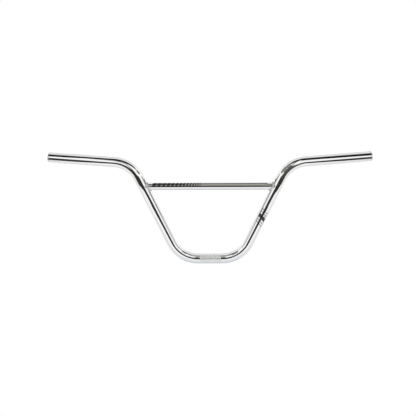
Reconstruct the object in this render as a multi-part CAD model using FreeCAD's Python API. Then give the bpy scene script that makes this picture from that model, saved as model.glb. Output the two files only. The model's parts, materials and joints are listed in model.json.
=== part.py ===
import FreeCAD
import Part
import math
import os

# A two-piece handlebar for a small-wheeled stunt bicycle. One tube is bent four times into
# grip, upright, clamp run, upright and grip, and a thinner crossbar is welded between the uprights.
# Millimetres. The origin is the middle of the clamp run, +X runs along the width to the right,
# +Z goes up and +Y goes backwards, the way the grips sweep.

# Driving dimensions, lengths in millimetres and angles in degrees
overall_width = 736.6
rise = 228.6
clamp_run = 55.0
upright_lean = 25.9
upsweep = 3.0
backsweep = 11.0
bottom_bend_radius = 67.0
top_bend_radius = 67.0
tube_diameter = 22.2
tube_wall = 1.4
end_chamfer = 0.5
mouth_chamfer = 0.3
crossbar_diameter = 15.9
crossbar_wall = 1.0
crossbar_height = 166.0
weld_leg = 2.4
vent_diameter = 4.0

# Sizes that follow from them
tube_radius = tube_diameter / 2
bore_radius = tube_radius - tube_wall
crossbar_radius = crossbar_diameter / 2
crossbar_bore_radius = crossbar_radius - crossbar_wall
weld_crest = weld_leg / 2

LEFT = -1
RIGHT = 1
MIDDLE = FreeCAD.Vector(0, 0, 0)
ALONG_WIDTH = FreeCAD.Vector(1, 0, 0)
DOWN = FreeCAD.Vector(0, 0, -1)
SAME_PLACE = 1e-4


def half_path(side):
    """The middle of the clamp run, the two sharp corners of one half, and its end."""
    lean = math.radians(upright_lean)
    sweep = math.radians(backsweep)
    lift = math.radians(upsweep)
    upright = FreeCAD.Vector(math.sin(lean), 0, math.cos(lean))
    grip = FreeCAD.Vector(math.cos(sweep), math.sin(sweep), 0) * math.cos(lift)
    grip.z = math.sin(lift)

    bottom_turn = math.pi / 2 - lean
    bottom = ALONG_WIDTH * (clamp_run / 2 + bottom_bend_radius * math.tan(bottom_turn / 2))

    # The end is cut square to the grip, so its chamfered rim reaches a little past its centre.
    rim_reach = (tube_radius - end_chamfer) * math.sqrt(1 - grip.x**2)
    reach = overall_width / 2 - rim_reach - bottom.x
    # The upright and grip lengths that give the width and the rise together.
    determinant = upright.x * grip.z - upright.z * grip.x
    upright_length = (reach * grip.z - rise * grip.x) / determinant
    grip_length = (upright.x * rise - upright.z * reach) / determinant

    top = bottom + upright * upright_length
    end = top + grip * grip_length
    return [FreeCAD.Vector(side * point.x, point.y, point.z) for point in (MIDDLE, bottom, top, end)]


def bent_rod(path, bend_radii, radius):
    """A round rod along straight runs, with a bend at each inner corner of its path."""
    circle = Part.Circle(path[0], path[1] - path[0], radius)
    # The seam of the round faces runs along the underside, away from the crossbar.
    circle.XAxis = DOWN
    section = Part.Face(Part.Wire(circle.toShape()))
    run_start = path[0]
    pieces = []
    for before, corner, after, bend_radius in zip(path, path[1:], path[2:], bend_radii):
        arriving = (corner - before).normalize()
        leaving = (after - corner).normalize()
        turn = arriving.getAngle(leaving)
        setback = bend_radius * math.tan(turn / 2)
        bend_start = corner - arriving * setback
        bend_axis = arriving.cross(leaving).normalize()
        bend_centre = bend_start + bend_axis.cross(arriving) * bend_radius

        run = bend_start - run_start
        pieces.append(section.extrude(run))
        section = section.translated(run)
        pieces.append(section.revolve(bend_centre, bend_axis, math.degrees(turn)))
        section = section.rotated(bend_centre, bend_axis, math.degrees(turn))
        run_start = corner + leaving * setback
    pieces.append(section.extrude(path[-1] - run_start))
    return pieces[0].multiFuse(pieces[1:]).removeSplitter()


def bar_rod(radius):
    """A solid rod along the whole bar, its halves bent outwards from the middle."""
    bend_radii = [bottom_bend_radius, top_bend_radius]
    left, right = [bent_rod(half_path(side), bend_radii, radius) for side in (LEFT, RIGHT)]
    return left.fuse(right).removeSplitter()


def crossbar_rod(radius, half_length):
    """A solid rod on the crossbar's axis, centred between the uprights."""
    start = FreeCAD.Vector(-half_length, 0, crossbar_height)
    return Part.makeCylinder(radius, 2 * half_length, start, ALONG_WIDTH)


def coped_core(tube_outside, blank_half_length):
    """The crossbar as a solid rod, cut at both ends to the outside of the uprights."""
    trimmed = crossbar_rod(crossbar_radius, blank_half_length).cut(tube_outside)
    return min(trimmed.Solids, key=lambda solid: abs(solid.CenterOfMass.x))


def rim(shape, centre, radius):
    """The circular edges of one radius about one point."""
    edges = []
    for edge in shape.Edges:
        if isinstance(edge.Curve, Part.Circle):
            same_size = abs(edge.Curve.Radius - radius) < SAME_PLACE
            if same_size and (edge.Curve.Center - centre).Length < SAME_PLACE:
                edges.append(edge)
    return edges


def hollow_tube(tube_outside, ends, vent_reach):
    """The main tube with both mouths chamfered and a vent into each end of the crossbar."""
    tube = tube_outside.cut(bar_rod(bore_radius)).cut(crossbar_rod(vent_diameter / 2, vent_reach))
    outer_rims = [edge for end in ends for edge in rim(tube, end, tube_radius)]
    tube = tube.makeChamfer(end_chamfer, outer_rims)
    inner_rims = [edge for end in ends for edge in rim(tube, end, bore_radius)]
    return tube.makeChamfer(mouth_chamfer, inner_rims)


def weld_beads(tube_outside, core):
    """A bead round each end of the crossbar, spread over both tubes by one weld leg."""
    grown_tube = bar_rod(tube_radius + weld_leg)
    grown_rod = crossbar_rod(crossbar_radius + weld_leg, core.BoundBox.XMax + weld_leg)
    square_beads = grown_tube.common(grown_rod).cut([tube_outside, core])
    left_to_right = sorted(square_beads.Solids, key=lambda bead: bead.CenterOfMass.x)
    return [bead.makeChamfer(weld_crest, crest(bead, tube_outside, core)) for bead in left_to_right]


def crest(bead, tube_outside, core):
    """The outermost edges of a square bead, which stand one weld leg from both tubes."""
    edges = []
    for edge in bead.Edges:
        middle = Part.Vertex(edge.valueAt((edge.FirstParameter + edge.LastParameter) / 2))
        heights = [tube.distToShape(middle)[0] for tube in (tube_outside, core)]
        if all(abs(height - weld_leg) < SAME_PLACE for height in heights):
            edges.append(edge)
    return edges


tube_outside = bar_rod(tube_radius)
top_corner = half_path(RIGHT)[-2]
ends = [half_path(side)[-1] for side in (LEFT, RIGHT)]

# The blank is long enough to run right through both uprights before it is coped.
blank_half_length = top_corner.x
core = coped_core(tube_outside, blank_half_length)
vent_reach = core.BoundBox.XMax + bore_radius
left_weld, right_weld = weld_beads(tube_outside, core)

parts = {
    "main_tube": hollow_tube(tube_outside, ends, vent_reach),
    "crossbar": core.cut(crossbar_rod(crossbar_bore_radius, blank_half_length)),
    "left_weld": left_weld,
    "right_weld": right_weld,
}

os.makedirs("parts", exist_ok=True)
for name, shape in parts.items():
    shape.exportStep(f"parts/{name}.step")
    print(name, shape.ShapeType, len(shape.Solids), shape.isValid(), round(shape.Volume, 1))
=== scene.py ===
# %% [markdown]
# # A chromed handlebar for a stunt bicycle
# The real thing is one steel tube bent four times, with a thinner crossbar welded across it, and the
# whole of it plated with bright chromium. This lesson builds each piece as a surface worked out with
# numpy, gives it a finish made of shader nodes, and sets up a small studio round it.
#
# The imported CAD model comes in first, as a fixed frame. Every piece below is in metres in that frame,
# so nothing has to be moved into place afterwards.

# %% Load the frame
import json
import math

import bpy
import numpy as np
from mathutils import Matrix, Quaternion, Vector


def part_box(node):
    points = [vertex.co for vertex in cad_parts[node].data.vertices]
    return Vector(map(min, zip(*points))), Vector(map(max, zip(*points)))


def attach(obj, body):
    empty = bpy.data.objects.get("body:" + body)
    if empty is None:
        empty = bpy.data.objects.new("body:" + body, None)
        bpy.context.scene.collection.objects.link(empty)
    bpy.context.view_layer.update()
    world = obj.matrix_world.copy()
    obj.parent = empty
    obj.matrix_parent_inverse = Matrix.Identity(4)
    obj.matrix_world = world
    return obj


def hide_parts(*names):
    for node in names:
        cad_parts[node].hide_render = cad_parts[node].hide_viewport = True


MM = 0.001

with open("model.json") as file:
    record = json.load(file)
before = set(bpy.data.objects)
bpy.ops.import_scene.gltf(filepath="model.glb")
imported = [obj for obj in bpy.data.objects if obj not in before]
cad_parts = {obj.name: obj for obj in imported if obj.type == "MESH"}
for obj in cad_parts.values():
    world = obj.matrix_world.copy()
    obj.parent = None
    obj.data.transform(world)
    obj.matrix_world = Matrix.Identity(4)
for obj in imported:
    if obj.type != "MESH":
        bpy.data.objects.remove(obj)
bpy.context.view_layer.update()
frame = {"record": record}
mounts = {mount["name"]: mount for mount in frame["record"]["mounts"]}
scene = bpy.context.scene
scene.view_settings.view_transform = "Standard"

# %% [markdown]
# ## The camera
# A picture of a plain object is half made by its camera, so it comes before the pieces. The bar was
# seen from a little above, from about two metres away, through a long lens. A lens shift could centre
# the picture, but aiming a few millimetres beside the bar does the same and leaves the lens plain.

# %% The camera
PICTURE_SIDE = 416
FOCUS_IN_PIXELS = 930.075
SENSOR_WIDTH = 36
CAMERA_DISTANCE = 2.1
CAMERA_RISE = math.radians(9.591)
CAMERA_ROLL = math.radians(-0.226)
SEEN_POINT = Vector((0, 0, 0.110))
SEEN_AT_PIXEL = (210.143, 210.864)

looking = Vector((0, math.cos(CAMERA_RISE), -math.sin(CAMERA_RISE)))
picture_up = Vector((0, math.sin(CAMERA_RISE), math.cos(CAMERA_RISE)))
metres_per_pixel = CAMERA_DISTANCE / FOCUS_IN_PIXELS
aim = SEEN_POINT + picture_up * (SEEN_AT_PIXEL[1] - PICTURE_SIDE / 2) * metres_per_pixel
aim.x -= (SEEN_AT_PIXEL[0] - PICTURE_SIDE / 2) * metres_per_pixel

lens = bpy.data.cameras.new("camera")
lens.sensor_width = SENSOR_WIDTH
lens.lens = SENSOR_WIDTH * FOCUS_IN_PIXELS / PICTURE_SIDE
camera = bpy.data.objects.new("camera", lens)
scene.collection.objects.link(camera)
camera.location = SEEN_POINT - looking * CAMERA_DISTANCE
camera.rotation_mode = "QUATERNION"
facing = (aim - camera.location).to_track_quat("-Z", "Y")
camera.rotation_quaternion = facing @ Quaternion((0, 0, 1), CAMERA_ROLL)
scene.camera = camera
print("lens", round(lens.lens, 2), "mm at", [round(value, 3) for value in camera.location])

# %% [markdown]
# ## From numbers to meshes
# Each piece is a grid of points with quads between neighbours. A tube is a grid whose rows and columns
# both wrap round, so that its outside, rims and bore are one closed skin. A thin film is a grid of
# folded rings: each ring goes out along the top and back along the bottom, and the first and last ring
# are capped. Blender's own primitives could be bent and joined instead, but a formula keeps the
# surface exact, and an exact surface is what a mirror finish needs.


# %% Grids and quads
def round_angles(count):
    """Even angles once round: 2 pi k / count for k from 0 to count - 1."""
    return np.arange(count) * 2 * np.pi / count


def grid_quads(rows, columns, wrap_rows=True):
    """Corner numbers of the quads between a grid's rows and its wrapped columns.

    A quad joins point (i, j) to (i, j + 1), (i + 1, j + 1) and (i + 1, j), counted round the ends.
    """
    i = np.arange(rows if wrap_rows else rows - 1)[:, None]
    j = np.arange(columns)[None, :]
    next_i = (i + 1) % rows
    next_j = (j + 1) % columns
    corners = [i * columns + j, i * columns + next_j, next_i * columns + next_j, next_i * columns + j]
    return np.stack(corners, axis=-1).reshape(-1, 4)


def enclosed_volume(points, quads):
    """The sum of a . (b x c) / 6 over both triangles of every quad, positive if faces point outwards."""
    a, b, c, d = (points[quads[:, k]] for k in range(4))
    return np.sum(a * (np.cross(b, c) + np.cross(c, d))) / 6


# %% Pieces
def make_piece(name, points, quads, slot, *nodes):
    """One smooth mesh at the origin that rides on the only body and stands for these CAD nodes."""
    points = points.reshape(-1, 3)
    volume = enclosed_volume(points, quads)
    if volume < 0:
        quads = quads[:, ::-1]
    mesh = bpy.data.meshes.new(name)
    mesh.from_pydata(points, [], quads, shade_flat=False)
    piece = bpy.data.objects.new(name, mesh)
    scene.collection.objects.link(piece)
    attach(piece, "root")
    if nodes:
        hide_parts(*nodes)
    print(f"{name}: {2 * len(quads)} triangles round {abs(volume) * 1e6:.3f} cubic centimetres")
    return piece


def paint_points(piece, name, values):
    """A number at every point of the mesh, which a finish can read by name."""
    attribute = piece.data.attributes.new(name, "FLOAT", "POINT")
    attribute.data.foreach_set("value", np.ascontiguousarray(values, dtype=np.float32).ravel())


# %% [markdown]
# ## The line of the bar
# The tube follows straight runs joined by arcs: clamp run, bend, upright, bend, grip. The mounts in the
# frame's record say where the clamp run and the grips lie and how long they are, so only the lean of
# the uprights and the chamfer at the ends have to be named here. The corners and both bend radii
# follow from them.
#
# A curve object with a bevel could be swept along such a line. Working out the cross directions here
# takes a few lines more, but gives the rims, the bore and the bends in one grid.

# %% Corners and bend radii
RIGHT = np.array([1.0, 0.0, 0.0])
FRONT = np.array([0.0, -1.0, 0.0])
UP = np.array([0.0, 0.0, 1.0])
UPRIGHT_LEAN = math.radians(25.9)
END_CHAMFER = 0.5 * MM

clamp_half = mounts["stem_clamp"]["dims"]["length_mm"] * MM / 2
tube_radius = mounts["stem_clamp"]["dims"]["r_mm"] * MM
bore_radius = mounts["right_bar_end"]["dims"]["r_mm"] * MM
grip_direction = np.array(mounts["right_grip"]["axis"])
grip_middle = np.array(mounts["right_grip"]["pos_m"])
grip_straight = mounts["right_grip"]["dims"]["length_mm"] * MM + END_CHAMFER

bar_middle = np.zeros(3)
bar_end = grip_middle + grip_direction * grip_straight / 2
top_corner = grip_middle - grip_direction * grip_middle[1] / grip_direction[1]
upright_direction = RIGHT * math.sin(UPRIGHT_LEAN) + UP * math.cos(UPRIGHT_LEAN)
bottom_corner = top_corner - upright_direction * top_corner[2] / upright_direction[2]

bottom_turn = math.pi / 2 - UPRIGHT_LEAN
top_turn = math.acos(upright_direction @ grip_direction)
bottom_radius = (bottom_corner[0] - clamp_half) / math.tan(bottom_turn / 2)
grip_length = np.linalg.norm(bar_end - top_corner)
top_radius = (grip_length - grip_straight) / math.tan(top_turn / 2)
print("bend radii in millimetres", round(bottom_radius / MM, 2), round(top_radius / MM, 2))


# %% Points and cross directions along the line
def turned(vector, axis, angles):
    """A vector v turned about a unit axis k by each angle a.

    It is v cos a + (k x v) sin a + k (k . v)(1 - cos a).
    """
    cosine = np.cos(angles)[:, None]
    sine = np.sin(angles)[:, None]
    return vector * cosine + np.cross(axis, vector) * sine + axis * (axis @ vector) * (1 - cosine)


def straight_run(start, end, front, up, step, with_end=False):
    """start + t (end - start) for even shares t, with the cross directions kept."""
    count = max(2, math.ceil(np.linalg.norm(end - start) / step))
    share = np.linspace(0, 1, count + with_end, endpoint=with_end)[:, None]
    points = start + share * (end - start)
    fronts, ups = (np.broadcast_to(vector, points.shape) for vector in (front, up))
    return np.stack([points, fronts, ups], axis=1)


def bent_line(corners, bend_radii, bend_step, run_step):
    """Rows of (point, front, up) along straight runs with an arc at each inner corner.

    An arc of radius r starts r tan(turn / 2) before its corner. Along it the offset from the arc's
    centre and both cross directions turn together about the axis of the bend.
    """
    front, up = FRONT, UP
    here = corners[0]
    rows = []
    for before, corner, after, radius in zip(corners, corners[1:], corners[2:], bend_radii):
        arriving = (corner - before) / np.linalg.norm(corner - before)
        leaving = (after - corner) / np.linalg.norm(after - corner)
        turn = math.acos(arriving @ leaving)
        setback = radius * math.tan(turn / 2)
        axis = np.cross(arriving, leaving) / math.sin(turn)
        bend_start = corner - arriving * setback
        centre = bend_start + np.cross(axis, arriving) * radius
        rows.append(straight_run(here, bend_start, front, up, run_step))

        angles = np.linspace(0, turn, math.ceil(radius * turn / bend_step), endpoint=False)
        offsets = turned(bend_start - centre, axis, angles)
        fronts, ups = (turned(vector, axis, angles) for vector in (front, up))
        rows.append(np.stack([centre + offsets, fronts, ups], axis=1))
        front, up = (turned(vector, axis, np.array([turn]))[0] for vector in (front, up))
        here = corner + leaving * setback
    rows.append(straight_run(here, corners[-1], front, up, run_step, with_end=True))
    return np.concatenate(rows)


# %% [markdown]
# ## The main tube
# Each row of the line becomes a ring. The rings run out along the outside to one end, over the small
# chamfers of the rim, back through the bore, and the same mirrored for the other half, until the last
# ring meets the first. Bends get a ring every millimetre and a half, because a reflection shows every
# flat. Each edge of the rim has a ring close by on both sides, which keeps it crisp under smooth shading.
#
# Two attributes mark the places with a finish of their own: the bore, which is bare steel, and the last
# few millimetres before the mouth, where the plate is dull.

# %% The rim of an open end
MOUTH_CHAMFER = 0.3 * MM
EDGE = 0.05 * MM
DULL_START = 4.5 * MM
DULL_FULL = 2.7 * MM


def mouth_profile():
    """Distance in from the end and radius of each ring over the rim, from the outside to the bore."""
    face_outer = tube_radius - END_CHAMFER
    face_inner = bore_radius + MOUTH_CHAMFER
    return np.array(
        [
            [DULL_START, tube_radius],
            [DULL_FULL, tube_radius],
            [END_CHAMFER + EDGE, tube_radius],
            [END_CHAMFER, tube_radius],
            [END_CHAMFER - EDGE, tube_radius - EDGE],
            [EDGE, face_outer + EDGE],
            [0, face_outer],
            [0, face_outer - EDGE],
            [0, face_inner + EDGE],
            [0, face_inner],
            [EDGE, face_inner - EDGE],
            [MOUTH_CHAMFER - EDGE, bore_radius + EDGE],
            [MOUTH_CHAMFER, bore_radius],
        ]
    )


mouth = mouth_profile()
print("rim of", len(mouth), "rings")

# %% One half, out to its end and back through the bore
PLAIN_END = 9.0 * MM

corners = [bar_middle, bottom_corner, top_corner]
bend_radii = [bottom_radius, top_radius]
outer_end = bar_end - grip_direction * PLAIN_END
bore_end = bar_end - grip_direction * (MOUTH_CHAMFER + EDGE)
outer_line = bent_line(corners + [outer_end], bend_radii, bend_step=1.5 * MM, run_step=8 * MM)
bore_line = bent_line(corners + [bore_end], bend_radii, bend_step=4 * MM, run_step=20 * MM)[::-1]
mouth_line = np.repeat(outer_line[-1:], len(mouth), axis=0)
mouth_line[:, 0] = bar_end - grip_direction * mouth[:, :1]

half_line = np.concatenate([outer_line, mouth_line, bore_line])
outer_radii = np.full(len(outer_line), tube_radius)
bore_radii = np.full(len(bore_line), bore_radius)
half_radii = np.concatenate([outer_radii, mouth[:, 1], bore_radii])
in_bore = np.repeat([0, 1], [len(outer_line) + len(mouth), len(bore_line)])
at_mouth = np.repeat([0, 1, 0], [len(outer_line) + 1, len(mouth) - 1, len(bore_line)])
print("half of the tube:", len(outer_line), "rings outside and", len(bore_line), "in the bore")

# %% Both halves as one closed skin
AROUND_TUBE = 144
MIRROR = np.array([-1, 1, 1])


def rings(line, radii, angles):
    """Points at centre + radius (front cos a + up sin a) for every row of the line and every angle a."""
    centre, front, up = (line[:, k, None, :] for k in range(3))
    across = front * np.cos(angles)[:, None] + up * np.sin(angles)[:, None]
    return centre + radii[:, None, None] * across


def there_and_back(half, factor=1):
    """The rows of one half, and then the rows between its first and last in reverse, times a factor."""
    return np.concatenate([half, half[-2:0:-1] * factor])


half_rings = rings(half_line, half_radii, round_angles(AROUND_TUBE))
tube_points = there_and_back(half_rings, MIRROR)
tube_quads = grid_quads(len(tube_points), AROUND_TUBE)
bar_tube = make_piece("bar_tube", tube_points, tube_quads, "chrome_tube", "main_tube")
paint_points(bar_tube, "bare_steel", np.repeat(there_and_back(in_bore), AROUND_TUBE))
paint_points(bar_tube, "dull_end", np.repeat(there_and_back(at_mouth), AROUND_TUBE))

# %% [markdown]
# ## The knurl on the clamp run
# The middle of the lower run is knurled so that the stem's clamp can't slip: two crossing sets of
# grooves leave small pyramids, and the plating fills them until a few hundredths of a millimetre are
# left. A bump map would look the same from afar, but here the teeth are real. The height at x and angle
# a is the lower of two triangle waves that run round the tube in opposite directions, with its tip cut
# off.

# %% The height of the teeth
KNURL_HALF = 23.9 * MM
KNURL_TEETH = 84
KNURL_PITCH = 0.8 * MM
KNURL_TIP = 0.8
KNURL_EDGE = 0.5 * MM


def triangle_wave(phase):
    """0 at whole numbers and 1 half-way between them: 1 - |2 (the part after the point) - 1|."""
    return 1 - np.abs(2 * (phase % 1) - 1)


def knurl_height(x, angle):
    """The lower of two crossing triangle waves, cut off at the tip, and let down at both ends."""
    turns = angle * KNURL_TEETH / (2 * np.pi)
    tooth = np.minimum(triangle_wave(x / KNURL_PITCH + turns), triangle_wave(x / KNURL_PITCH - turns))
    fade = np.clip((KNURL_HALF - np.abs(x)) / KNURL_EDGE, 0, 1)
    return np.minimum(tooth, KNURL_TIP) * fade


# %% The knurl
KNURL_ROWS = 240
POINTS_PER_TOOTH = 4
KNURL_DEPTH = 0.06 * MM
KNURL_LIFT = 0.01 * MM
KNURL_ROOT = 0.10 * MM

knurl_x = np.linspace(-KNURL_HALF, KNURL_HALF, KNURL_ROWS)
knurl_angle = round_angles(KNURL_TEETH * POINTS_PER_TOOTH)
tooth_height = knurl_height(knurl_x[:, None], knurl_angle)
knurl_radius = tube_radius + KNURL_LIFT + KNURL_DEPTH * tooth_height

# One more ring at each end lies under the tube's skin, and those two close the sleeve.
one_more_row = ((1, 1), (0, 0))
knurl_radius = np.pad(knurl_radius, one_more_row, constant_values=tube_radius - KNURL_ROOT)
knurl_x = np.pad(knurl_x, 1, mode="edge")[:, None]
knurl_y = -knurl_radius * np.cos(knurl_angle)
knurl_z = knurl_radius * np.sin(knurl_angle)
knurl_points = np.stack(np.broadcast_arrays(knurl_x, knurl_y, knurl_z), axis=-1)
knurl_quads = grid_quads(*knurl_points.shape[:2])
clamp_knurl = make_piece("clamp_knurl", knurl_points, knurl_quads, "clamp_knurl")
paint_points(clamp_knurl, "tooth", np.pad(tooth_height, one_more_row))

# %% [markdown]
# ## The crossbar and its cope
# The crossbar's ends are cut to the round of the uprights, which is called a cope. On a ring of radius
# rho round the crossbar's axis, the point at angle a lies at y = -rho cos a and z = height + rho sin a.
# It meets a cylinder of radius R round the leaning upright where
# x = upright's axis at z - sqrt(R squared - y squared) / cos(lean).
# A Boolean cut would give the same rim with ragged faces. One function of rho, R and a gives it in even
# steps, and gives the weld bead on top of it as well.

# %% Where two round tubes meet
crossbar_low, crossbar_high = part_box("crossbar")
crossbar_height = (crossbar_low.z + crossbar_high.z) / 2
crossbar_radius = (crossbar_high.z - crossbar_low.z) / 2
print("crossbar at", round(crossbar_height / MM, 2), "with radius", round(crossbar_radius / MM, 3))


def saddle(rho, angle, upright_radius):
    """The point of the right upright's round, of this radius, on the crossbar's round of radius rho."""
    y = -rho * np.cos(angle)
    z = crossbar_height + rho * np.sin(angle)
    axis_x = bottom_corner[0] + z * math.tan(UPRIGHT_LEAN)
    x = axis_x - np.sqrt(upright_radius**2 - y**2) / math.cos(UPRIGHT_LEAN)
    return np.stack(np.broadcast_arrays(x, y, z), axis=-1)


# %% The crossbar
AROUND_CROSSBAR = 96
CROSSBAR_WALL = 1.0 * MM
CROSSBAR_ROWS = 61


def coped_wall(radius):
    """A cylinder between both saddles: the right end's x times every share from -1 to 1."""
    rim = saddle(radius, round_angles(AROUND_CROSSBAR), tube_radius)
    share = np.linspace(-1, 1, CROSSBAR_ROWS)[:, None, None]
    return rim * np.concatenate([share, np.ones((CROSSBAR_ROWS, 1, 2))], axis=-1)


outer_wall = coped_wall(crossbar_radius)
inner_wall = coped_wall(crossbar_radius - CROSSBAR_WALL)
crossbar_points = np.concatenate([outer_wall, inner_wall[::-1]])
crossbar_quads = grid_quads(len(crossbar_points), AROUND_CROSSBAR)
crossbar_tube = make_piece("crossbar_tube", crossbar_points, crossbar_quads, "chrome_tube", "crossbar")
paint_points(crossbar_tube, "bare_steel", np.repeat([0, 1], CROSSBAR_ROWS * AROUND_CROSSBAR))

# %% [markdown]
# ## The weld beads
# A welder runs round the joint and lays one puddle after another, so a bead is a fillet with a row of
# crescents on it. A point of the fillet stands a above the upright's skin and b above the crossbar's:
# with a = leg cos t and b = leg sin t, t from 0 to 90 degrees, it goes from one tube to the other. The
# crescents make the leg a few per cent longer and shorter. The ring closes just under both skins.

# %% The section of a bead, puddle by puddle
WELD_LEG = 2.4 * MM
WELD_SUNK = 0.25 * MM
WELD_PUDDLES = 26
POINTS_PER_PUDDLE = 11
FILLET_STEPS = 15
PUDDLE_BOW = 0.8
PUDDLE_MEAN = 0.65
WELD_RIPPLE = 0.16

weld_angle = round_angles(WELD_PUDDLES * POINTS_PER_PUDDLE)
fillet = np.linspace(0, np.pi / 2, FILLET_STEPS)[:, None]
# Each puddle is highest, and its front bows forwards, in the middle between the tubes.
middle = np.sin(2 * fillet)
puddle = np.abs(np.sin(WELD_PUDDLES * weld_angle / 2 - PUDDLE_BOW * middle))
leg = WELD_LEG * (1 + WELD_RIPPLE * (puddle - PUDDLE_MEAN) * middle)
print("weld leg from", round(leg.min() / MM, 2), "to", round(leg.max() / MM, 2), "millimetres")

# %% Both beads
under = np.array([[-WELD_SUNK, WELD_LEG], [-WELD_SUNK, -WELD_SUNK], [WELD_LEG, -WELD_SUNK]])
under = np.repeat(under[:, :, None], len(weld_angle), axis=2)
over_upright = np.concatenate([leg * np.cos(fillet), under[:, 0]])
over_crossbar = np.concatenate([leg * np.sin(fillet), under[:, 1]])
right_bead = saddle(crossbar_radius + over_crossbar, weld_angle, tube_radius + over_upright)
left_bead = right_bead * MIRROR

bead_quads = grid_quads(*right_bead.shape[:2])
right_weld_bead = make_piece("right_weld_bead", right_bead, bead_quads, "chrome_weld", "right_weld")
left_weld_bead = make_piece("left_weld_bead", left_bead, bead_quads, "chrome_weld", "left_weld")

# %% [markdown]
# ## The printed marks
# Black film decorates the bar in two places: a row of slanted bars that become narrower on the crossbar,
# and a broad bar between pinstripes on the right upright. Each is a slab a tenth of a millimetre thick.
# A picture projected on the tube could show them too, but slabs need no picture and stay sharp in every
# close-up. On the flat, a bar is a parallelogram; wrapped, its point at distance s along the tube and
# angle a goes to origin + axis s + r (front cos a + side sin a).

# %% Bars wrapped round a tube
FILM_TOP = 0.06 * MM
FILM_UNDER = -0.04 * MM
FILM_ROWS = 25
FILM_COLUMNS = 9


def slanted_bars(start, widths, gap, slant, low, high, radius, origin, axis, side):
    """Folded grids of slabs, each from angle low to high, that lean by slant metres from low to high."""
    starts = start + np.concatenate([[0], np.cumsum(widths + gap)[:-1]])
    share = np.linspace(0, 1, FILM_COLUMNS)
    share = np.concatenate([share, share[::-1]])
    height = np.repeat([radius + FILM_TOP, radius + FILM_UNDER], FILM_COLUMNS)
    rise = np.linspace(0, 1, FILM_ROWS)
    angle = (low + (high - low) * rise)[None, :, None, None]
    along = starts[:, None, None] + widths[:, None, None] * share + slant * rise[:, None]
    outwards = FRONT * np.cos(angle) + side * np.sin(angle)
    return origin + axis * along[..., None] + outwards * height[:, None]


def folded_caps(rows, columns):
    """Quads that close a folded grid's first and last ring, each point joined to the one opposite."""
    j = np.arange(columns // 2 - 1)
    cap = np.stack([j, columns - 1 - j, columns - 2 - j, j + 1], axis=-1)
    return np.concatenate([cap, cap[:, ::-1] + (rows - 1) * columns])


def slab_quads(count):
    """The quads of one folded and capped slab, repeated for every slab."""
    columns = 2 * FILM_COLUMNS
    skin = grid_quads(FILM_ROWS, columns, wrap_rows=False)
    one = np.concatenate([skin, folded_caps(FILM_ROWS, columns)])
    first = np.arange(count) * FILM_ROWS * columns
    return (one + first[:, None, None]).reshape(-1, 4)


# %% Bars on the crossbar
crossbar_bars = slanted_bars(
    start=-131 * MM,
    widths=np.linspace(8.5, 1.5, 14) * MM,
    gap=2.9 * MM,
    slant=4 * MM,
    low=math.radians(-6),
    high=math.radians(84),
    radius=crossbar_radius,
    origin=UP * crossbar_height,
    axis=RIGHT,
    side=UP,
)
crossbar_print = make_piece(
    "crossbar_print", crossbar_bars, slab_quads(len(crossbar_bars)), "printed_film"
)

# %% Bars on the right upright
upright_bars = slanted_bars(
    start=86 * MM,
    widths=np.array([1.6, 1.6, 9.0, 1.6, 1.6]) * MM,
    gap=4.4 * MM,
    slant=9 * MM,
    low=math.radians(-52),
    high=math.radians(52),
    radius=tube_radius,
    origin=bottom_corner,
    axis=upright_direction,
    side=np.cross(FRONT, upright_direction),
)
upright_print = make_piece(
    "upright_print", upright_bars, slab_quads(len(upright_bars)), "printed_film"
)

# %% [markdown]
# ## Shader maths in Python
# Node trees are easier to read as expressions. This class holds one socket. Adding, subtracting or
# multiplying it adds a Math node, and its add method adds any other node: first the settings, then a
# value or a link for each socket.


# %% A socket that takes part in sums
class Shade:
    """One socket of a node tree. Operators add Math nodes, and add() adds a node of any kind."""

    def __init__(self, tree, socket=None):
        self.tree = tree
        self.socket = socket

    def add(self, kind, settings=None, inputs=None, output=0):
        """A new node: its settings first, then a value or a link for each named or numbered socket."""
        node = self.tree.nodes.new(kind)
        for name, value in (settings or {}).items():
            setattr(node, name, value)
        for key, value in (inputs or {}).items():
            if isinstance(value, Shade):
                self.tree.links.new(value.socket, node.inputs[key])
            else:
                node.inputs[key].default_value = value
        return Shade(self.tree, node.outputs[output] if node.outputs else None)

    def other(self, output):
        """Another output of the same node."""
        return Shade(self.tree, self.socket.node.outputs[output])

    def maths(self, operation, first, second=0.0):
        """A Math node on two values."""
        return self.add("ShaderNodeMath", {"operation": operation}, {0: first, 1: second})

    def __add__(self, value):
        return self.maths("ADD", self, value)

    def __radd__(self, value):
        return self.maths("ADD", value, self)

    def __sub__(self, value):
        return self.maths("SUBTRACT", self, value)

    def __rsub__(self, value):
        return self.maths("SUBTRACT", value, self)

    def __mul__(self, value):
        return self.maths("MULTIPLY", self, value)

    def __rmul__(self, value):
        return self.maths("MULTIPLY", value, self)

    def over(self, low, high):
        """0 under low, 1 over high, and a smooth rise between them."""
        return self.add(
            "ShaderNodeMapRange",
            {"interpolation_type": "SMOOTHSTEP"},
            {"Value": self, "From Min": low, "From Max": high},
        )

    def between(self, low, high, fade):
        """1 from low to high, with a smooth fall to 0 over the fade outside both."""
        return self.over(low - fade, low) * (1 - self.over(high, high + fade))

    def colour(self, first, second):
        """The first colour where this value is 0 and the second where it is 1."""
        return self.add("ShaderNodeMix", {"data_type": "RGBA"}, {0: self, 6: first, 7: second}, output=2)


# %% Finishes
def finish_tree(name):
    """A new material with an empty tree, and a Shade to add nodes with."""
    material = bpy.data.materials.new(name)
    material.use_nodes = True
    material.node_tree.nodes.clear()
    return material, Shade(material.node_tree)


def painted(tree, name):
    """The number that paint_points put on the piece under this name."""
    return tree.add("ShaderNodeAttribute", {"attribute_name": name}, output="Fac")


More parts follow.
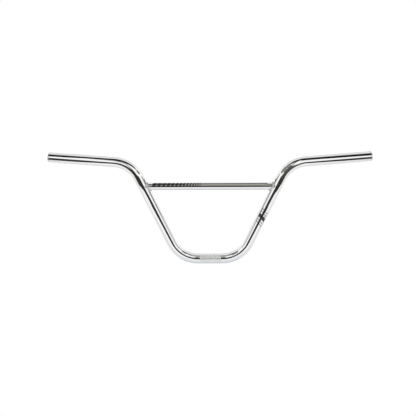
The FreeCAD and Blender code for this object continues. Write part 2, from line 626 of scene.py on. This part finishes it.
def speckle(tree, scale, detail=2.0):
    """Noise over the piece's own coordinates, whose grain is about one metre divided by the scale."""
    place = tree.add("ShaderNodeTexCoord", output="Object")
    return tree.add("ShaderNodeTexNoise", inputs={"Vector": place, "Scale": scale, "Detail": detail})


def bumps(height, strength, depth):
    """A normal tilted by the slope of a height, which stands for up to this depth in metres."""
    sockets = {"Strength": strength, "Distance": depth, "Height": height}
    return height.add("ShaderNodeBump", inputs=sockets)


def dressed(material, tree, sockets, *pieces):
    """Ends a tree in a Principled shader with these sockets, and puts the material on the pieces."""
    surface = tree.add("ShaderNodeBsdfPrincipled", inputs=sockets)
    tree.add("ShaderNodeOutputMaterial", inputs={"Surface": surface})
    for piece in pieces:
        piece.data.materials.append(material)
    print(material.name, "on", [piece.name for piece in pieces])


# %% [markdown]
# ## Bright chromium
# Polished plate is a metal with almost no roughness. What makes it look real is what it mirrors, so the
# finish itself only needs a little life: a faint haze that comes and goes, and a very shallow waviness
# left by the polishing wheel. The plate is rougher and greyer at the tube's ends, and the inside was
# never plated, so it is dull steel.

# %% Chrome on both tubes
WAVE_DEPTH = 0.02 * MM
DULL_PLATE = (0.80, 0.79, 0.82, 1)

chrome, tree = finish_tree("bright_chrome")
bare = painted(tree, "bare_steel")
dull = painted(tree, "dull_end")
haze = speckle(tree, 60)
plate = speckle(tree, 9).colour((0.95, 0.95, 0.945, 1), (0.92, 0.925, 0.93, 1))
steel = speckle(tree, 400, 4).colour((0.20, 0.19, 0.18, 1), (0.34, 0.32, 0.30, 1))
dressed(
    chrome,
    tree,
    {
        "Base Color": bare.colour(dull.colour(plate, DULL_PLATE), steel),
        "Metallic": 1.0,
        "Roughness": 0.03 + haze * 0.04 + dull * 0.30 + bare * 0.45,
        "Normal": bumps(speckle(tree, 45), 1.0, WAVE_DEPTH),
    },
    bar_tube,
    crossbar_tube,
)

# %% [markdown]
# ## The plate on the welds
# Nobody polishes between the crescents of a weld, so the plate there is a little duller, with fine pits
# of the steel under it. The crescents themselves are in the mesh.

# %% Chrome on the welds
PIT_DEPTH = 0.04 * MM

weld_chrome, tree = finish_tree("weld_chrome")
grain = speckle(tree, 1500, 4)
dressed(
    weld_chrome,
    tree,
    {
        "Base Color": speckle(tree, 300).colour((0.80, 0.80, 0.79, 1), (0.70, 0.70, 0.70, 1)),
        "Metallic": 1.0,
        "Roughness": 0.10 + grain * 0.12,
        "Normal": bumps(grain, 0.6, PIT_DEPTH),
    },
    left_weld_bead,
    right_weld_bead,
)

# %% [markdown]
# ## The satin of the knurl
# Plating rounds the teeth. The finish is lighter and smoother towards the tips of the teeth and darker
# and rougher down in the grooves. The tooth attribute says how high a point lies.

# %% Satin chrome on the knurl
satin, tree = finish_tree("knurl_satin")
tip = painted(tree, "tooth").over(0.2, 0.8)
dressed(
    satin,
    tree,
    {
        "Base Color": tip.colour((0.86, 0.865, 0.87, 1), (0.95, 0.955, 0.96, 1)),
        "Metallic": 0.8,
        "Roughness": 0.40 - tip * 0.10 + speckle(tree, 700) * 0.06,
    },
    clamp_knurl,
)

# %% [markdown]
# ## Black print
# The marks are gloss black under a clear layer, with a faint unevenness of the ink.

# %% Black film
ink, tree = finish_tree("black_film")
dressed(
    ink,
    tree,
    {
        "Base Color": speckle(tree, 900, 3).colour((0.010, 0.010, 0.011, 1), (0.022, 0.022, 0.023, 1)),
        "Roughness": 0.22 + speckle(tree, 250) * 0.12,
        "Coat Weight": 0.6,
        "Coat Roughness": 0.05,
    },
    crossbar_print,
    upright_print,
)

# %% [markdown]
# ## The studio
# Chrome shows its surroundings and nothing else, so the studio is part of the finish. Far things look
# the same from every part of the bar, so the world can paint them by direction: white panels all round,
# a grey ceiling, a dark room under the panels, and a dim slit straight ahead, where a photographer
# stands. An environment picture would do this too, but a few nodes can be changed by hand.
#
# Directions are in degrees. The bearing is 0 towards the photographer and grows to the right, and the
# lift is 0 at the horizon and 90 straight up. Only mirror rays see the room. The camera sees plain
# white, and all other light is an even white.

# %% The direction of a ray
world = bpy.data.worlds.new("white_panels")
scene.world = world
world.use_nodes = True
world.node_tree.nodes.clear()
tree = Shade(world.node_tree)

ray = tree.add("ShaderNodeTexCoord", output="Generated")
east = tree.add("ShaderNodeSeparateXYZ", inputs={0: ray}, output="X")
bearing = tree.maths("ARCTAN2", east, -1 * east.other("Y")) * math.degrees(1)
aside = tree.maths("ABSOLUTE", bearing)
lift = tree.maths("ARCSINE", east.other("Z")) * math.degrees(1)
print("bearing and lift take", len(world.node_tree.nodes), "nodes")

# %% Panels, ceiling, slit and dark room
WHITE = (1, 1, 1, 1)

beside = lift.between(-20, 19, 8) * aside.between(66, 108, 16)
panels = beside.colour(WHITE, (0.64, 0.64, 0.63, 1))
behind = lift.between(8, 34, 8) * aside.over(145, 160)
panels = behind.colour(panels, (0.42, 0.42, 0.415, 1))
ceiling = aside.over(80, 120).colour((0.33, 0.315, 0.30, 1), (0.80, 0.80, 0.80, 1))
upper = lift.over(44, 60).colour(panels, ceiling)

in_the_slit = 1 - tree.maths("ABSOLUTE", east).over(0.06, 0.09)
slit_reach = (1 - aside.over(80, 100)) * (1 - lift.over(68, 82))
slit = lift.over(22, 50).colour((0.14, 0.135, 0.12, 1), (0.40, 0.39, 0.365, 1))
slit = lift.over(64, 74).colour(slit, (0.15, 0.145, 0.14, 1))
upper = (in_the_slit * slit_reach).colour(upper, slit)

to_the_right = bearing.over(-25, 25)
panel_edge = -2 - to_the_right * 4
under_panels = 1 - (lift - panel_edge).over(-2, 2)
room = to_the_right.colour((0.040, 0.029, 0.027, 1), (0.036, 0.036, 0.028, 1))
mirrored_room = under_panels.colour(upper, room)
print("the room brings them to", len(world.node_tree.nodes), "nodes")

# %% What each kind of ray sees
EVEN_LIGHT = 0.75

path = tree.add("ShaderNodeLightPath", output="Is Camera Ray")
mirror_ray = path.other("Is Glossy Ray")
clear_ray = path.other("Is Transmission Ray")
seen = mirror_ray.colour(WHITE, mirrored_room)
shown = tree.add("ShaderNodeBackground", inputs={"Color": seen, "Strength": 1.0})
plain = tree.add("ShaderNodeBackground", inputs={"Color": WHITE, "Strength": EVEN_LIGHT})
direct = tree.maths("MINIMUM", path + mirror_ray + clear_ray, 1.0)
mixed = tree.add("ShaderNodeMixShader", inputs={0: direct, 1: plain, 2: shown})
tree.add("ShaderNodeOutputWorld", inputs={"Surface": mixed})
print("world with", len(world.node_tree.nodes), "nodes")

# %% [markdown]
# ## Cards close to the bar
# Things within arm's reach look different from every part of the bar, so they can't be painted on the
# world. Photographers put flat cards round a shiny object, white ones to light it up and black ones to
# draw lines on it. The cards here are polygons given by their corners. Only mirror rays see them, so
# they cast no shadow and light nothing.


# %% Kinds of card
def glow(tree, colour):
    """Ends a tree in a plain glow of this colour."""
    light = tree.add("ShaderNodeEmission", inputs={"Color": colour, "Strength": 1.0})
    tree.add("ShaderNodeOutputMaterial", inputs={"Surface": light})


def card(name, points):
    """A flat polygon that mirror rays see and that isn't there for any other."""
    material, tree = finish_tree(name)
    mesh = bpy.data.meshes.new(name)
    mesh.from_pydata(points, [], [range(len(points))])
    mesh.materials.append(material)
    flat = bpy.data.objects.new(name, mesh)
    scene.collection.objects.link(flat)
    flat.visible_camera = False
    flat.visible_diffuse = False
    flat.visible_shadow = False
    return tree


def level_card(name, height, colour, outline):
    """A card at one height, from corners (x, y)."""
    glow(card(name, [(x, y, height) for x, y in outline]), colour)


def standing_card(name, away, colour, outline):
    """A card that faces the bar from in front, from corners (x, z)."""
    glow(card(name, [(x, away, z) for x, z in outline]), colour)


# %% [markdown]
# ## The pale cards below
# A table lies under the bar. It is bright in front, and under the bar itself it is a little blue and grey
# with painted shade, and that shows along the underside of every tube. Two pale boards beside the bar
# carry its brightness on to where the grips look past the table's edge. Behind the bar the boards darken
# with painted shade, and so does a strip of painted shade along the middle of the table. They draw the
# thin grey outline under the grips and the crossbar.


# %% Cards that darken with painted shade from front to back
def depth_on(tree):
    """The y of a point on a card, which grows away from the camera."""
    place = tree.add("ShaderNodeTexCoord", output="Object")
    return tree.add("ShaderNodeSeparateXYZ", inputs={0: place}, output="Y")


def card_shaded_behind(name, height, near, far, low, high, outline):
    """A card at one height that goes from the near colour to the far one, a painted shade, between two
    places on y.
    """
    tree = card(name, [(x, y, height) for x, y in outline])
    glow(tree, depth_on(tree).over(low, high).colour(near, far))


# %% The table
TABLE_HEIGHT = -0.183
BRIGHT = (0.99, 0.99, 0.985, 1)
SHADE_UNDER_BAR = (0.77, 0.785, 0.81, 1)

right_front = [(0.0, -1.225), (0.25, -1.13), (0.40, -0.95), (0.50, -0.76), (0.55, -0.62), (0.53, -0.50)]
right_side = [(0.51, -0.36), (0.52, -0.24), (0.80, -0.20), (1.15, -0.25), (1.15, 0.70), (0.80, 1.10)]
left_side = [(0.0, 1.25), (-0.80, 1.10), (-1.15, 0.70), (-1.15, -0.25), (-0.80, -0.20), (-0.54, -0.25)]
left_front = [(-0.545, -0.38), (-0.547, -0.50), (-0.63, -0.70), (-0.54, -0.90)]
left_front += [(-0.42, -1.0), (-0.25, -1.13)]
table_outline = right_front + right_side + left_side + left_front
tree = card("table", [(x, y, TABLE_HEIGHT) for x, y in table_outline])
# Darker and bluer under the bar: painted shade of the bar on the table.
glow(tree, depth_on(tree).between(-0.12, 0.20, 0.40).colour(BRIGHT, SHADE_UNDER_BAR))
print("table with", len(table_outline), "corners")

# %% Boards and the strip of painted shade
BOARD_HEIGHT = 0.0
SHADE_STRIP_HEIGHT = -0.182
PALE = (0.93, 0.93, 0.935, 1)
SHADED_BEHIND = (0.78, 0.78, 0.80, 1)
DEEPER_SHADE_BEHIND = (0.60, 0.61, 0.64, 1)

left_board = [(-0.27, -0.55), (-0.345, -0.52), (-0.36, -0.45), (-0.385, -0.36), (-0.40, -0.29)]
left_board += [(-0.42, -0.22), (-0.432, -0.13), (-0.445, -0.10), (-0.445, 0.60), (-0.27, 0.60)]
right_board = [(0.27, -0.42), (0.335, -0.42), (0.36, -0.35), (0.375, -0.29), (0.39, -0.22)]
right_board += [(0.43, -0.15), (0.44, -0.10), (0.44, 0.60), (0.27, 0.60)]
# A strip of painted shade along the table's middle, darker still behind the bar.
shade_strip = [(-0.14, -0.03), (0.14, -0.03), (0.20, 1.0), (-0.20, 1.0)]
# The boards are pale in front and carry painted shade behind the bar.
card_shaded_behind("left_board", BOARD_HEIGHT, PALE, SHADED_BEHIND, -0.04, 0.06, left_board)
card_shaded_behind("right_board", BOARD_HEIGHT, PALE, SHADED_BEHIND, -0.06, 0.04, right_board)
card_shaded_behind("shade_strip", SHADE_STRIP_HEIGHT, SHADE_UNDER_BAR, DEEPER_SHADE_BEHIND, -0.03, 0.05, shade_strip)
print("boards at", BOARD_HEIGHT, "and runner at", SHADE_STRIP_HEIGHT)

# %% [markdown]
# ## The dark cards overhead
# Two black booms draw the upper line along the grips, and a dim rod close over the crossbar draws the
# one along its top. A hood and a visor grey the right top bend. Higher up, gantries with a dark arm each
# draw the upper line of the low bends.

# %% Booms and rod
BOOM_HEIGHT = 0.33
ROD_HEIGHT = 0.19
BLACK = (0.008, 0.0085, 0.011, 1)
DUSK = (0.10, 0.096, 0.09, 1)

left_boom = [(-0.06, 0), (-0.06, -0.09), (-0.24, -0.095), (-0.28, -0.068), (-0.325, -0.064)]
left_boom += [(-0.36, -0.088), (-0.40, -0.108), (-0.60, -0.13), (-0.60, 0.02), (-0.26, 0)]
right_boom = [(0.14, 0), (0.14, -0.092), (0.22, -0.085), (0.35, -0.135), (0.60, -0.16)]
right_boom += [(0.60, 0.02), (0.26, 0)]
rod = [(-0.13, -0.0055), (0.13, -0.0055), (0.13, 0.011), (-0.13, 0.011)]
level_card("left_boom", BOOM_HEIGHT, BLACK, left_boom)
level_card("right_boom", BOOM_HEIGHT, BLACK, right_boom)
level_card("rod", ROD_HEIGHT, DUSK, rod)
print("booms at", BOOM_HEIGHT, "and rod at", ROD_HEIGHT)

# %% Hood and visor
HOOD_HEIGHT = 0.26
VISOR_HEIGHT = 0.225
GREY = (0.24, 0.235, 0.225, 1)

hood = [(0.135, 0), (0.135, -0.10), (0.15, -0.125), (0.182, -0.125), (0.175, -0.09)]
hood += [(0.163, -0.03), (0.16, 0)]
visor = [(0.134, 0), (0.14, -0.10), (0.162, -0.10), (0.158, 0)]
level_card("hood", HOOD_HEIGHT, GREY, hood)
level_card("visor", VISOR_HEIGHT, GREY, visor)
print("hood at", HOOD_HEIGHT, "and visor at", VISOR_HEIGHT)

# %% Gantries and arms
GANTRY_HEIGHT = 0.70
ARM_HEIGHT = 0.699
DIM = (0.14, 0.135, 0.125, 1)
DARK = (0.034, 0.032, 0.027, 1)

left_gantry = [(-0.56, -0.92), (-0.27, -0.85), (-0.27, 0), (-0.56, 0)]
right_gantry = [(0.365, -0.66), (0.62, -0.60), (0.62, 0), (0.365, 0)]
left_arm = [(-0.37, -0.33), (-0.15, -0.33), (-0.15, -0.14), (-0.37, -0.14)]
right_arm = [(0.175, -0.33), (0.37, -0.33), (0.37, -0.14), (0.15, -0.14)]
level_card("left_gantry", GANTRY_HEIGHT, GREY, left_gantry)
level_card("right_gantry", GANTRY_HEIGHT, DIM, right_gantry)
level_card("left_arm", ARM_HEIGHT, DARK, left_arm)
level_card("right_arm", ARM_HEIGHT, DARK, right_arm)
print("gantries at", GANTRY_HEIGHT, "and arms at", ARM_HEIGHT)

# %% [markdown]
# ## The dark cards in front
# A screen in front of the bar draws the dark line down both uprights and round the low bends. Two small
# flags near the top bends make that line swell there, as the bend looks more and more to the side.

# %% Screen and flags
SCREEN_AWAY = -0.60
FLAG_AWAY = -0.10
SHADE = (0.085, 0.082, 0.074, 1)

screen = [(-0.36, -0.03), (0, -0.05), (0.10, -0.08), (0.36, -0.06), (0.36, 0.12), (0.26, 0.14)]
screen += [(0.20, 0.215), (0.10, 0.215), (0.06, 0.28), (-0.06, 0.28), (-0.10, 0.215)]
screen += [(-0.20, 0.215), (-0.26, 0.14), (-0.36, 0.12)]
left_flag = [(-0.285, 0.138), (-0.25, 0.15), (-0.165, 0.17), (-0.165, 0.213), (-0.19, 0.222)]
left_flag += [(-0.228, 0.225), (-0.256, 0.221), (-0.285, 0.215)]
right_flag = [(0.165, 0.17), (0.22, 0.16), (0.285, 0.135), (0.272, 0.175), (0.255, 0.195), (0.235, 0.205)]
right_flag += [(0.21, 0.225), (0.19, 0.242), (0.165, 0.25), (0.145, 0.235), (0.145, 0.20)]
standing_card("screen", SCREEN_AWAY, DARK, screen)
standing_card("left_flag", FLAG_AWAY, DARK, left_flag)
standing_card("right_flag", FLAG_AWAY, SHADE, right_flag)
print("screen at", SCREEN_AWAY, "and flags at", FLAG_AWAY)

# %% [markdown]
# ## Floor and lamp
# Far below the picture lies a pale floor. Near the bar it is a plain diffuse surface that keeps the soft
# shadow, and farther out it turns into the same white as the world for the camera. One large soft lamp
# overhead gives that shadow.

# %% The floor
FLOOR_DEPTH = 0.9
FLOOR_HALF = 8.0
WHITE_OUT_START = 1.0
WHITE_OUT_FULL = 1.3
FLOOR_GREY = (0.86, 0.86, 0.86, 1)

floor_corners = [(-1, -1), (1, -1), (1, 1), (-1, 1)]
floor_points = [(x * FLOOR_HALF, y * FLOOR_HALF, -FLOOR_DEPTH) for x, y in floor_corners]
floor_mesh = bpy.data.meshes.new("floor")
floor_mesh.from_pydata(floor_points, [], [range(4)])
floor = bpy.data.objects.new("floor", floor_mesh)
scene.collection.objects.link(floor)
floor.visible_glossy = False

floor_paint, tree = finish_tree("pale_floor")
place = tree.add("ShaderNodeTexCoord", output="Object")
away = tree.add("ShaderNodeVectorMath", {"operation": "LENGTH"}, {0: place}, output="Value")
camera_ray = tree.add("ShaderNodeLightPath", output="Is Camera Ray")
white_out = camera_ray * away.over(WHITE_OUT_START, WHITE_OUT_FULL)
pale = tree.add("ShaderNodeBsdfDiffuse", inputs={"Color": FLOOR_GREY})
far_white = tree.add("ShaderNodeEmission", inputs={"Color": WHITE, "Strength": 1.0})
mixed = tree.add("ShaderNodeMixShader", inputs={0: white_out, 1: pale, 2: far_white})
tree.add("ShaderNodeOutputMaterial", inputs={"Surface": mixed})
floor_mesh.materials.append(floor_paint)
print("floor", FLOOR_DEPTH, "below the clamp run")

# %% The lamp
LAMP_SIZE = 1.2
LAMP_WATTS = 12
LAMP_PLACE = (0, -0.2, 1.6)

lamp = bpy.data.lights.new("overhead", "AREA")
lamp.size = LAMP_SIZE
lamp.energy = LAMP_WATTS
overhead = bpy.data.objects.new("overhead", lamp)
overhead.location = LAMP_PLACE
overhead.visible_glossy = False
overhead.visible_camera = False
scene.collection.objects.link(overhead)
print("lamp of", LAMP_WATTS, "watts at", LAMP_PLACE)
